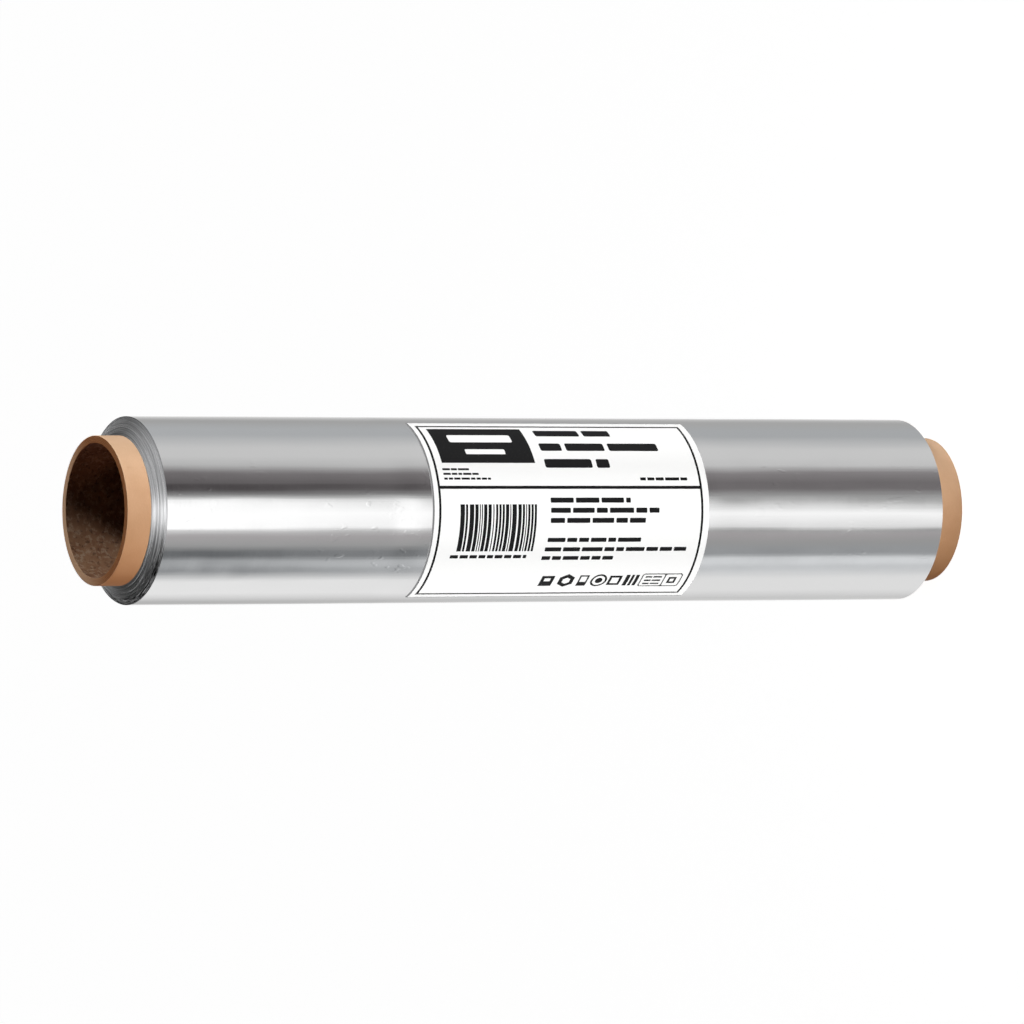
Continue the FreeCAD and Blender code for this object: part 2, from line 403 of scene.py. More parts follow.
core_rows = core_outline()
core_turns = np.arange(CORE_COLUMNS) * math.tau / CORE_COLUMNS
core_points = [core_point(r, z, turn) for r, z, mark in core_rows for turn in core_turns]
core_faces = skin(CORE_COLUMNS, len(core_rows), wraps=True)
last_row = (len(core_rows) - 1) * CORE_COLUMNS
for column in range(CORE_COLUMNS):
    beside = (column + 1) % CORE_COLUMNS
    core_faces.append([last_row + column, last_row + beside, beside, column])
core_marks = [mark for r, z, mark in core_rows[1:] for column in range(CORE_COLUMNS)]
core_marks += [SAWN] * CORE_COLUMNS
core_tube = make_piece("core_tube", core_points, core_faces,
                       [kraft, board_inside, board_sawn], core_marks, sharp=80)
core_tube.visible_glossy = False
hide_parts("core")
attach(core_tube, "root")

# %% [markdown]
# ## Two finishes for the foil
#
# Foil is nearly a mirror. The rolls that make it leave faint lines along the web, so a highlight
# stays crisp round the roll and smears a little along it: that is anisotropy. Where the turns end
# at the rims, the light meets hundreds of thin edges, and the metal looks like a turned disc,
# darker and with fine rings. That darker base colour is partly the edges' own random tone and
# partly painted shade, the shade that falls between the turns. A rough grey could stand in for
# both the wall and the edges, but it would lose the bands, so they get a material each. On one
# side of the rim the outermost turns have come loose, and their bent edges catch the light. The
# short dark gaps between them are painted shade, a near-black base colour that darkens that side
# of the rim.


# %% Mirror wall
def comb_metal(tree, shader, strength):
    """Smears a metal's highlights one way only, along a grain that runs round the axis."""
    shader.inputs["Anisotropic"].default_value = strength
    shader.inputs["Anisotropic Rotation"].default_value = QUARTER_TURN
    grain = add_node(tree, "ShaderNodeTangent", direction_type="RADIAL", axis="Z")
    feed(tree, shader.inputs["Tangent"], grain.outputs[0])


def foil_finish():
    finish, tree, shader = new_finish("foil_wall")
    rolling = clouds(tree, stretched(tree, x=0.02, y=0.02), 0.35 * MM, detail=3, roughness=0.6)
    handling = clouds(tree, stretched(tree, z=0.35), 6 * MM, detail=3, roughness=0.55)
    streaks = clouds(tree, stretched(tree, z=0.012), 0.9 * MM, detail=3, roughness=0.6)
    scuffs = clouds(tree, stretched(tree, z=0.6), 2.2 * MM, detail=1, roughness=0.5)
    nicks = ease(tree, scuffs, 0.6, 0.74)
    patches = clouds(tree, stretched(tree), 22 * MM, detail=1, roughness=0.5)
    rubbed = ease(tree, patches, 0.52, 0.66)
    shader.inputs["Base Color"].default_value = FOIL_METAL
    shader.inputs["Metallic"].default_value = 1.0
    haze = calc(tree, "MULTIPLY_ADD", rolling, 0.3, calc(tree, "MULTIPLY", handling, 0.7))
    feed(tree, shader.inputs["Roughness"], ease(tree, haze, 0.35, 0.7, low=0.08, high=0.14))
    comb_metal(tree, shader, 0.55)
    lines = relief(tree, rolling, 0.0006 * MM)
    lines = relief(tree, streaks, 0.008 * MM, lines)
    lines = relief(tree, calc(tree, "MULTIPLY", nicks, rubbed), 0.01 * MM, lines)
    feed(tree, shader.inputs["Normal"], relief(tree, handling, 0.006 * MM, lines))
    return finish


QUARTER_TURN = 0.25
FOIL_METAL = (0.93, 0.935, 0.94, 1.0)
foil_wall = foil_finish()


# %% Edges of the turns
def along_turns(tree, heading, radius, spread):
    """A place that runs fast across the turns and slowly along them, by its spread in metres."""
    place = add_node(tree, "ShaderNodeCombineXYZ")
    feed(tree, place.inputs["X"], calc(tree, "MULTIPLY", heading["X"], spread))
    feed(tree, place.inputs["Y"], calc(tree, "MULTIPLY", heading["Y"], spread))
    feed(tree, place.inputs["Z"], radius)
    return place.outputs[0]


def turn_edge_finish():
    finish, tree, shader = new_finish("foil_edges")
    flat = stretched(tree, z=0)
    length = add_node(tree, "ShaderNodeVectorMath", operation="LENGTH")
    feed(tree, length.inputs[0], flat)
    radius = length.outputs["Value"]
    outward = add_node(tree, "ShaderNodeVectorMath", operation="NORMALIZE")
    feed(tree, outward.inputs[0], flat)
    heading = split(tree, outward.outputs[0])
    arcs = along_turns(tree, heading, radius, ARC_SPREAD)
    turns = clouds(tree, arcs, 0.4 * MM, detail=4, roughness=0.62)
    # Darker rings: partly the edges' own random tone, partly painted shade between the turns.
    tone = ease(tree, turns, 0.36, 0.62)
    colour = blend_colours(tree, tone, EDGE_TONE_AND_SHADE, EDGE_LIGHT)
    short_arcs = along_turns(tree, heading, radius, GAP_SPREAD)
    torn = clouds(tree, short_arcs, 0.45 * MM, detail=3, roughness=0.6)
    far_out = ease(tree, radius, LOOSE_FROM, LOOSE_FULL)
    loose = calc(tree, "MULTIPLY", far_out, ease(tree, heading["X"], -0.2, -0.7))
    # Painted shade: on the -X side of the loose outer turns, short gaps turn the base colour near
    # black.
    gaps = calc(tree, "MULTIPLY", ease(tree, torn, 0.51, 0.42), loose)
    feed(tree, shader.inputs["Base Color"], blend_colours(tree, gaps, colour, GAP_SHADE))
    shader.inputs["Metallic"].default_value = 1.0
    feed(tree, shader.inputs["Roughness"], ease(tree, turns, 0.3, 0.75, low=0.36, high=0.22))
    comb_metal(tree, shader, 0.75)
    bent = relief(tree, calc(tree, "MULTIPLY", torn, loose), 0.5 * MM)
    feed(tree, shader.inputs["Normal"], relief(tree, turns, 0.05 * MM, bent))
    return finish


ARC_SPREAD = 0.35 * MM
GAP_SPREAD = 1.6 * MM
# Painted shade: the near-black base colour in the gaps between the loose outer turns.
GAP_SHADE = (0.03, 0.03, 0.032, 1.0)
LOOSE_FROM = 25.5 * MM
LOOSE_FULL = 28 * MM
# Edge tones; the darker one is partly painted shade between the turns.
EDGE_TONE_AND_SHADE = (0.54, 0.543, 0.552, 1.0)
EDGE_LIGHT = (0.92, 0.925, 0.935, 1.0)
foil_edges = turn_edge_finish()

# %% [markdown]
# ## The outline of the last turn
#
# A wound roll is a spiral, so its outline isn't a circle. The web lies at full radius for most of
# the way round and then sinks, along an arc of its own, until it runs under its free edge at the
# back. The outline here follows that same rule. The free edge is cut a little unevenly, and it
# stands off the turn below by the width of a hair, as a loose edge does.

# %% Shape the outline
FREE_EDGE_TURN = math.radians(80)
BED_MARGIN = math.radians(12)
TAIL_STEP = 0.15 * MM
EDGE_WANDER = 0.5 * MM
SLOW_STRAY = 70 * MM
QUICK_STRAY = 9 * MM
EDGE_LIFT = 0.1 * MM
EDGE_REACH = math.radians(14)

bed_turn = math.tau - math.pi / 2 - label_half_turn - BED_MARGIN
sink_turn = bed_turn - FREE_EDGE_TURN
foot_radius = foil_radius - TAIL_STEP
foot_along = foot_radius * math.cos(sink_turn)
sink_squares = foot_radius**2 + foil_radius**2 - 2 * foil_radius * foot_along
sink_radius = sink_squares / (2 * (foil_radius - foot_along))


def last_turn_radius(turn):
    """Radius of the roll at an angle counted from its free edge's foot, round to its edge."""
    if turn >= bed_turn:
        return foil_radius
    from_bed = turn - bed_turn
    offset = foil_radius - sink_radius
    inside = math.sqrt(sink_radius**2 - (offset * math.sin(from_bed)) ** 2)
    return offset * math.cos(from_bed) + inside


def edge_wave(level):
    """How far the free edge strays along the web at this level, in metres."""
    slow = noise.noise(Vector((level / SLOW_STRAY, 3.1, 0)))
    quick = noise.noise(Vector((level / QUICK_STRAY, 7.7, 0)))
    return EDGE_WANDER * (slow + 0.25 * quick)


print("the last turn sinks over", round(math.degrees(sink_turn)), "degrees")

# %% [markdown]
# ## Small unevenness in the wall
#
# Real foil is never a perfect cylinder. Winding leaves long shallow waves, and handling leaves
# soft dimples a few millimetres wide. On a mirror, a slope of half a degree already bends a
# reflected band, so the waves are only hundredths of a millimetre deep. They are moved points and
# not bump, so that the outline and the reflections agree.

# %% Describe the waves and dimples
WAVE_DEPTH = 0.09 * MM
LONG_WAVE = 95 * MM
SHORT_WAVE = 26 * MM
DIMPLE_COUNT = 22
DIMPLE_WIDTHS = (2.0, 4.5)
DIMPLE_DEPTHS = (0.015, 0.045)
RIM_MARGIN = 12 * MM
PRESSED_MARGIN = 2 * MM
PRESSED_FADE = 12 * MM
dice = random.Random(7)


def scatter_dimples():
    """Turn, level, width and depth of each soft dimple."""
    dimples = []
    for number in range(DIMPLE_COUNT):
        turn = dice.uniform(0, math.tau)
        level = dice.uniform(foil_low.z + RIM_MARGIN, rim_top - RIM_MARGIN)
        width = dice.uniform(*DIMPLE_WIDTHS) * MM
        depth = dice.uniform(*DIMPLE_DEPTHS) * MM
        dimples.append((turn, level, width, depth))
    return dimples


dimples = scatter_dimples()


def freedom(turn, level):
    """1 on the free wall, 0 where the label presses the foil smooth."""
    from_front = abs((turn + math.pi / 2 + math.pi) % math.tau - math.pi) - label_half_turn
    beside = from_front * foil_radius
    past = max(level - label_top, label_bottom - level)
    away = (max(beside, past) - PRESSED_MARGIN) / PRESSED_FADE
    away = min(max(away, 0), 1)
    return away * away * (3 - 2 * away)


def unevenness(turn, level):
    """How far the wall stands out or in at one point, in metres."""
    x, y = math.cos(turn), math.sin(turn)
    long_wave = noise.noise(Vector((x * 2.1, y * 2.1, level / LONG_WAVE)))
    short_wave = noise.noise(Vector((x * 5.5, y * 5.5, level / SHORT_WAVE + 9)))
    height = WAVE_DEPTH * (long_wave + 0.3 * short_wave - 1)
    for centre, at, width, depth in dimples:
        round_by = (turn - centre + math.pi) % math.tau - math.pi
        apart = math.hypot(round_by * foil_radius, level - at) / width
        if apart < 3:
            height -= depth * math.exp(-apart * apart)
    return height * freedom(turn, level)


# %% [markdown]
# ## The edges of the turns
#
# At each end the turns have slipped along the roll, the innermost most, so the end is a shallow
# cone. Hundreds of turns can't be drawn one by one. The cone gets a few dozen shallow ridges
# instead, and each one rises and falls a little on its way round, so that it catches the light in
# broken arcs. The outermost turns lie looser, with deeper gaps between them.

# %% Lay out the ridges
TURN_BUNDLES = 12
DRIFT_CURVE = 1.2
RIDGES_A_BUNDLE = 2
GROOVE_DEPTH = 0.055 * MM
LOOSE_GAP = 0.22 * MM
LOOSE_RIDGES = 5
RIDGE_WANDER = 0.015 * MM
RIDGE_CREST = (0.97, 0.5)
RIDGE_GROOVE = 0.18
RIM_SHARE = 0.97


def slip_at(share):
    """How far the turns at this share of the build have slipped up the roll, in metres."""
    outermost = TURN_BUNDLES - 1
    number = min(max(share * TURN_BUNDLES - 0.5, 0), outermost)
    return TURN_DRIFT * (1 - (number / outermost) ** DRIFT_CURVE)


def lay_ridges(ridges_a_bundle):
    """Rows across the end, from the wall inwards: share of the build, level and two phases."""
    rows = []
    count = TURN_BUNDLES * ridges_a_bundle
    for number in reversed(range(count)):
        from_wall = count - 1 - number
        loose = max(0, 1 - from_wall / LOOSE_RIDGES)
        crest = dice.uniform(-0.5, 0.5) * GROOVE_DEPTH if from_wall else 0
        depth = GROOVE_DEPTH * dice.uniform(0.4, 1.6) + LOOSE_GAP * loose * dice.uniform(0.3, 1)
        phases = (dice.uniform(0, math.tau), dice.uniform(0, math.tau))
        for place, sunk in ((RIDGE_CREST[0], 0), (RIDGE_CREST[1], 0), (RIDGE_GROOVE, depth)):
            share = (number + place) / count
            rows.append((share, slip_at(share) + crest - sunk, phases))
    return rows


# %% [markdown]
# ## Skinning the foil
#
# The wall and both ends share one skin, so no gap can open at the rims. Its rows start at the core
# on the upper end, cross the ridges outwards, run down the wall and come back across the lower
# end. Its columns start under the free edge and end on top of it. A last strip of faces closes the
# small step between those two.

# %% Wind the foil
WALL, EDGES = 0, 1
FOIL_COLUMNS = 241
WALL_ROWS = 176

turns_round = np.linspace(FREE_EDGE_TURN, FREE_EDGE_TURN + math.tau, FOIL_COLUMNS)
upper_ridges = lay_ridges(RIDGES_A_BUNDLE)
lower_ridges = lay_ridges(1)


def foil_turn(turn, level):
    """The angle of a column, with the strip beside the free edge following its wavy cut."""
    from_edge = min(turn - FREE_EDGE_TURN, FREE_EDGE_TURN + math.tau - turn)
    hold = max(0, 1 - from_edge / EDGE_REACH)
    return turn + edge_wave(level) / foil_radius * hold * hold


def wall_point(turn, level):
    """A point of the wall, with its unevenness and the lift of the free edge."""
    radius = last_turn_radius(turn) + unevenness(turn, level)
    to_edge = FREE_EDGE_TURN + math.tau - turn
    lift = max(0, 1 - to_edge / (EDGE_REACH / 2))
    radius += EDGE_LIFT * lift * lift
    at = foil_turn(turn, level)
    return (radius * math.cos(at), radius * math.sin(at), level)


def ridge_point(turn, row, level):
    """A point on the edge of a turn, from its row and the level of its end."""
    share, slip, phases = row
    wander = math.sin(turn + phases[0]) + math.sin(turn * 3 + phases[1])
    rim = wall_point(turn, level)
    rim_radius = math.hypot(rim[0], rim[1])
    radius = core_radius + (rim_radius - core_radius) * share
    at = foil_turn(turn, level)
    height = level + slip + (RIDGE_WANDER * wander if 0 < share < RIM_SHARE else 0)
    return (radius * math.cos(at), radius * math.sin(at), height)


core_row = (0.0, TURN_DRIFT, (0.0, 0.0))
upper_rows = [core_row] + upper_ridges[::-1]
lower_rows = [(share, 2 * slip_at(share) - slip, phases) for share, slip, phases in lower_ridges]
lower_rows.append(core_row)

foil_points = []
for row in upper_rows:
    foil_points.extend(ridge_point(turn, row, rim_top) for turn in turns_round)
for level in np.linspace(rim_top, foil_low.z, WALL_ROWS):
    foil_points.extend(wall_point(turn, level) for turn in turns_round)
for row in lower_rows:
    foil_points.extend(ridge_point(turn, row, foil_low.z) for turn in turns_round)

foil_row_count = len(foil_points) // FOIL_COLUMNS
row_marks = [EDGES] * len(upper_rows) + [WALL] * (WALL_ROWS - 1) + [EDGES] * len(lower_rows)
foil_faces = [face[::-1] for face in skin(FOIL_COLUMNS, foil_row_count)]
foil_marks = [mark for mark in row_marks for column in range(FOIL_COLUMNS - 1)]
for row in range(foil_row_count - 1):
    low = row * FOIL_COLUMNS
    high = low + FOIL_COLUMNS
    foil_faces.append([low + FOIL_COLUMNS - 1, high + FOIL_COLUMNS - 1, high, low])
    foil_marks.append(row_marks[row])
foil_winding = make_piece("foil_winding", foil_points, foil_faces,
                          [foil_wall, foil_edges], foil_marks, sharp=40)
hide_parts("foil")
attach(foil_winding, "root")

# %% [markdown]
# ## Paper and ink
#
# The label is coated paper with black print. Coated paper is bright, matt and faintly fibrous.
# The ink lies in the paper and is a little shinier. An image would be the usual way to put print
# on paper, but here the print is cut into the label's own mesh, so its edges stay crisp from any
# distance and each face simply takes the paper's or the ink's material, or a third one: a thin
# grey strip along two edges of the label is painted shadow, the shade the paper's edge casts on
# the foil.


# %% Three label finishes: paper, ink and a painted edge shadow
def paper_finish():
    finish, tree, shader = new_finish("label_paper")
    fibres = clouds(tree, stretched(tree), 0.35 * MM, detail=4, roughness=0.65)
    colour = blend_colours(tree, fibres, PAPER_SHADE, PAPER_LIGHT)
    feed(tree, shader.inputs["Base Color"], colour)
    shader.inputs["Roughness"].default_value = 0.6
    shader.inputs["Specular IOR Level"].default_value = 0.25
    feed(tree, shader.inputs["Normal"], relief(tree, fibres, 0.01 * MM))
    return finish


def ink_finish():
    finish, tree, shader = new_finish("label_ink")
    wear = clouds(tree, stretched(tree), 0.5 * MM, detail=4, roughness=0.7)
    colour = blend_colours(tree, ease(tree, wear, 0.5, 0.8), INK_FULL, INK_WORN)
    feed(tree, shader.inputs["Base Color"], colour)
    shader.inputs["Roughness"].default_value = 0.5
    shader.inputs["Specular IOR Level"].default_value = 0.12
    return finish


# Painted shadow: an uneven grey that stands in for the shade the label's cut edge casts on the
# foil.
def edge_shadow_finish():
    finish, tree, shader = new_finish("label_edge_shadow")
    uneven = clouds(tree, stretched(tree), 1.5 * MM, detail=3, roughness=0.6)
    colour = blend_colours(tree, uneven, EDGE_SHADOW_DARK, EDGE_SHADOW_PALE)
    feed(tree, shader.inputs["Base Color"], colour)
    shader.inputs["Roughness"].default_value = 0.6
    return finish


PAPER_SHADE, PAPER_LIGHT = (0.9, 0.9, 0.89, 1), (0.95, 0.95, 0.945, 1)
INK_FULL, INK_WORN = (0.005, 0.005, 0.0055, 1), (0.016, 0.016, 0.0165, 1)
# The greys of the painted edge shadow.
EDGE_SHADOW_DARK, EDGE_SHADOW_PALE = (0.13, 0.13, 0.135, 1), (0.24, 0.24, 0.245, 1)
paper = paper_finish()
ink = ink_finish()
edge_shadow = edge_shadow_finish()

# %% [markdown]
# ## The label's print
#
# The print is laid out flat first, in millimetres from the label's corner: u runs along the roll
# from its upper end, and v runs round it. It keeps the arrangement of such a label but says
# nothing. Each word is one plain bar, the bar pattern has bars of chance widths, and the row of
# signs holds simple outlines.

# %% Lay out the print
LABEL_ALONG = (label_top - label_bottom) / MM
LABEL_ROUND = 2 * label_half_turn * foil_radius / MM
PAPER, INK, PAINTED_SHADOW = 0, 1, 2
# Widths in mm of the painted shadow strips along the label's upper edge and its edge on the -X
# side.
EDGE_SHADOW_WIDTH = 0.6
FOOT_SHADOW_WIDTH = 0.3
BORDER_INSET = 2.2
BORDER_LINE = 0.8
DIVIDER_AT = 27.3
DIVIDER_LINE = 1.0
DARK_PANEL = (5.3, 4.2, 38.8, 19.5)
SIGNS_AT = 60.4
BARS_ACROSS = 70


def rectangle(u0, v0, u1, v1):
    """Four corners of a printed rectangle."""
    return [(u0, v0), (u1, v0), (u1, v1), (u0, v1)]


def frame_line(u0, v0, u1, v1, line):
    """A rectangular printed line of even width."""
    return [
        rectangle(u0, v0, u1, v0 + line),
        rectangle(u0, v1 - line, u1, v1),
        rectangle(u0, v0 + line, u0 + line, v1 - line),
        rectangle(u1 - line, v0 + line, u1, v1 - line),
    ]


def round_shape(u, v, radius, corners):
    """A regular outline with this many corners."""
    turns = [math.tau * (n + 0.5) / corners for n in range(corners)]
    return [(u + radius * math.cos(a), v + radius * math.sin(a)) for a in turns]


def soft_rectangle(u0, v0, u1, v1, radius):
    """The outline of a rectangle with rounded corners."""
    corners = [(u1 - radius, v1 - radius, 0), (u0 + radius, v1 - radius, 90),
               (u0 + radius, v0 + radius, 180), (u1 - radius, v0 + radius, 270)]
    return [(u + radius * math.cos(math.radians(start + step)),
             v + radius * math.sin(math.radians(start + step)))
            for u, v, start in corners for step in (0, 30, 60, 90)]


def row_of_words(u0, u1, v0, v1, seed, longest=5.5):
    """A printed line that says nothing: one plain bar for each word."""
    chance = random.Random(seed)
    tall = v1 - v0
    words = []
    u = u0
    while u1 - u > tall:
        wide = tall * chance.uniform(1.8, longest)
        if u + wide > u1 - 1.5 * tall:
            wide = u1 - u
        words.append(soft_rectangle(u, v0, u + wide, v1, 0.18 * tall))
        u += wide + 0.5 * tall
    return words


def bar_pattern(u0, u1, v0, v1, seed):
    """Upright bars of chance widths, standing for no number."""
    chance = random.Random(seed)
    unit = (u1 - u0) / BARS_ACROSS
    bars = []
    u = u0
    while u < u1 - unit:
        wide = unit * chance.choice([1, 2, 2, 3, 4])
        bars.append(rectangle(u, v0, min(u + wide, u1), v1))
        u += wide + unit * chance.choice([1, 1, 1.5])
    return bars


def sign_row(middle):
    """Plain shapes in a row and a framed pair of panels, in the order they are painted."""
    signs = [
        (INK, rectangle(44.0, middle - 2.3, 48.6, middle + 2.6)),
        (PAPER, rectangle(45.2, middle - 1.2, 47.4, middle + 0.2)),
        (INK, round_shape(53.3, middle, 3.1, 6)),
        (PAPER, round_shape(53.3, middle, 1.5, 6)),
        (INK, rectangle(57.7, middle - 2.5, 61.1, middle + 2.6)),
        (PAPER, rectangle(58.3, middle - 1.9, 60.5, middle + 0.6)),
        (INK, round_shape(65.2, middle, 2.9, 32)),
        (PAPER, round_shape(65.2, middle, 2.2, 32)),
        (INK, round_shape(65.2, middle, 1.3, 16)),
        (INK, round_shape(71.0, middle, 3.2, 4)),
        (PAPER, round_shape(71.0, middle, 1.9, 4)),
        (INK, rectangle(74.6, middle - 2.6, 76.0, middle + 2.6)),
        (INK, rectangle(76.6, middle - 2.6, 77.6, middle + 2.6)),
        (INK, rectangle(78.2, middle - 2.6, 79.4, middle + 2.6)),
        (INK, soft_rectangle(80.4, middle - 3.1, 95.2, middle + 3.1, 0.9)),
        (PAPER, soft_rectangle(80.8, middle - 2.7, 88.7, middle + 2.7, 0.6)),
        (PAPER, soft_rectangle(89.1, middle - 2.7, 94.8, middle + 2.7, 0.6)),
        (INK, round_shape(91.9, middle, 2.1, 4)),
        (PAPER, round_shape(91.9, middle, 1.0, 4)),
    ]
    for line in (-1.6, 0.0, 1.6):
        words = row_of_words(81.8, 87.8, middle + line - 0.35, middle + line + 0.35, seed=9)
        signs += [(INK, shape) for shape in words]
    return signs


def print_layout():
    """Every printed shape and painted shadow strip with its tone, in the order they are painted.
    """
    inset, far_u, far_v = BORDER_INSET, LABEL_ALONG - BORDER_INSET, LABEL_ROUND - BORDER_INSET
    inked = frame_line(inset, inset, far_u, far_v, BORDER_LINE)
    inked.append(rectangle(inset + BORDER_LINE, DIVIDER_AT, far_u - BORDER_LINE,
                           DIVIDER_AT + DIVIDER_LINE))
    inked.append(rectangle(*DARK_PANEL))
    headings = ((43.0, 70.3, 5.1, 8.2), (42.4, 85.2, 11.6, 14.8), (42.2, 65.6, 18.0, 21.2))
    notes = ((42.2, 71.3, 31.1, 32.7), (42.3, 81.7, 34.3, 35.9), (42.3, 76.8, 37.5, 39.1))
    lower_notes = ((41.9, 75.8, 43.9, 45.3), (41.5, 93.0, 47.1, 48.5), (41.1, 67.0, 50.2, 51.6))
    small = ((4.9, 14.4, 21.4, 22.1), (4.9, 17.5, 23.0, 23.7), (4.9, 21.6, 24.6, 25.3),
             (75.6, 92.8, 24.5, 25.5))
    for seed, line in enumerate(headings + notes + lower_notes + small, start=20):
        inked += row_of_words(*line, seed)
    inked += bar_pattern(9.8, 37.2, 33.2, 48.4, seed=5)
    inked += row_of_words(8.0, 35.4, 49.7, 50.9, seed=6, longest=2.6)
    # Painted shadow: grey strips along the label's upper edge and its -X edge stand in for the
    # shade of the paper's edge on the foil.
    edges = [rectangle(0, 0, EDGE_SHADOW_WIDTH, LABEL_ROUND),
             rectangle(0, LABEL_ROUND - FOOT_SHADOW_WIDTH, LABEL_ALONG, LABEL_ROUND)]
    panel = [soft_rectangle(10.8, 7.7, 33.4, 11.2, 0.7),
             soft_rectangle(15.0, 14.2, 29.2, 16.2, 0.4)]
    layout = [(PAINTED_SHADOW, shape) for shape in edges] + [(INK, shape) for shape in inked]
    return layout + [(PAPER, shape) for shape in panel] + sign_row(SIGNS_AT)


layout = print_layout()
print("printed shapes:", len(layout))

# %% [markdown]
# ## Cutting the print into the paper
#
# A constrained triangulation takes the flat outlines and returns triangles that never cross one
# of them. Lines ruled across the label every millimetre go in as well, so the sheet can bend
# smoothly round the roll. Each triangle takes the tone of the last shape painted over it. Last,
# the sheet is wrapped on to the foil and gets its edges and its underside.

# %% Cut the flat label
RULED_EVERY = 1.0
FULL_CUT = 1
TOUCHING = 1e-5
AT_EDGE = 1e-4


def cut_flat_label():
    """Flat points and triangles of the label, with the tone painted last on each triangle."""
    points, shapes, lines = [], [], []

    def add_shape(corners):
        first = len(points)
        points.extend(Vector(corner) for corner in corners)
        shapes.append(list(range(first, first + len(corners))))

    add_shape(rectangle(0, 0, LABEL_ALONG, LABEL_ROUND))
    for tone, shape in layout:
        add_shape(shape)
    for v in np.arange(RULED_EVERY, LABEL_ROUND - RULED_EVERY / 2, RULED_EVERY):
        lines.append((len(points), len(points) + 1))
        points.extend([Vector((0, v)), Vector((LABEL_ALONG, v))])
    cut = geometry.delaunay_2d_cdt(points, lines, shapes, FULL_CUT, TOUCHING, True)
    flat_points, triangles, sources = cut[0], cut[2], cut[5]
    tones = [PAPER] + [tone for tone, shape in layout]
    marks = [tones[max(source)] for source in sources]
    return flat_points, [list(t) for t in triangles], marks


flat_points, flat_triangles, flat_marks = cut_flat_label()
print("label cut into", len(flat_triangles), "triangles,", flat_marks.count(INK), "of them inked")


# %% Wrap it round the roll
def wrap(u, v, radius):
    """A flat place on the label, in millimetres, carried to the roll."""
    turn = label_half_turn - v / LABEL_ROUND * 2 * label_half_turn
    return (radius * math.sin(turn), -radius * math.cos(turn), label_top - u * MM)


def wrap_label():
    """The sheet: printed face, underside and the four cut edges."""
    points = [wrap(u, v, paper_radius) for u, v in flat_points]
    faces = [list(t) for t in flat_triangles]
    marks = list(flat_marks)
    edge_numbers = {}
    for number, (u, v) in enumerate(flat_points):
        on_left, on_right = u < AT_EDGE, u > LABEL_ALONG - AT_EDGE
        if on_left or on_right:
            edge_numbers[(on_right, round(v, 3))] = number
    levels = sorted({v for side, v in edge_numbers})
    rows = []
    for v in levels:
        left, right = edge_numbers[(False, v)], edge_numbers[(True, v)]
        first = len(points)
        points.append(wrap(0, v, foil_radius))
        points.append(wrap(LABEL_ALONG, v, foil_radius))
        rows.append((left, right, first, first + 1))
    for here, there in zip(rows, rows[1:]):
        faces.append([here[0], here[2], there[2], there[0]])
        faces.append([here[1], there[1], there[3], here[3]])
        faces.append([here[2], here[3], there[3], there[2]])
    top, bottom = rows[0], rows[-1]
    faces.append([top[0], top[1], top[3], top[2]])
    faces.append([bottom[0], bottom[2], bottom[3], bottom[1]])
    marks += [PAPER] * (len(faces) - len(marks))
    return points, faces, marks


label_points, label_faces, label_marks = wrap_label()
paper_label = make_piece("paper_label", label_points, label_faces,
                         [paper, ink, edge_shadow], label_marks)
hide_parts("label")
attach(paper_label, "root")

# %% [markdown]
# ## The floor
#
# The roll stands on a wide pale floor that fills the picture. It is matt, and it is lit from
# below like a light table, so the picture stays white round the roll and the shadow stays faint.
# That extra light is for the camera alone. The mirror wall would show nothing but white floor,
# and the board would lose its shaded side to it, so the floor is hidden from mirror rays and from
# bounced light.

# %% Lay the floor
FLOOR_HALF = 30.0
FLOOR_GLOW = 0.92
FLOOR_PALE = (0.93, 0.93, 0.93, 1)


def floor_finish():
    finish, tree, shader = new_finish("floor_pale")
    shader.inputs["Base Color"].default_value = FLOOR_PALE
    shader.inputs["Roughness"].default_value = 1.0
    shader.inputs["Specular IOR Level"].default_value = 0.0
    shader.inputs["Emission Color"].default_value = (1, 1, 1, 1)
    path = add_node(tree, "ShaderNodeLightPath")
    glow = calc(tree, "MULTIPLY", path.outputs["Is Camera Ray"], FLOOR_GLOW)
    feed(tree, shader.inputs["Emission Strength"], glow)
    return finish


floor_corners = [(x * FLOOR_HALF, y * FLOOR_HALF, 0) for x, y in rectangle(-1, -1, 1, 1)]
floor_mesh = bpy.data.meshes.new("floor")
floor_mesh.from_pydata(floor_corners, [], [(0, 1, 2, 3)])
floor_mesh.materials.append(floor_finish())
floor = bpy.data.objects.new("floor", floor_mesh)
bpy.context.scene.collection.objects.link(floor)
floor.visible_glossy = False
floor.visible_diffuse = False

# %% [markdown]
# ## The studio
#
# Metal shows its surroundings, so they matter as much as its material. A product studio puts tall
# white cards and dark flags round a shiny cylinder, and each one becomes a straight band. Here
# they are painted on the world by compass direction, which gives clean bands without any noise.
# The cards hang a little askew, so each has one brightness at its head, which the near half of
# the roll mirrors, and another at its foot, for the far half. Matt pieces see only a dim even
# grey, and get lamps of their own further down.

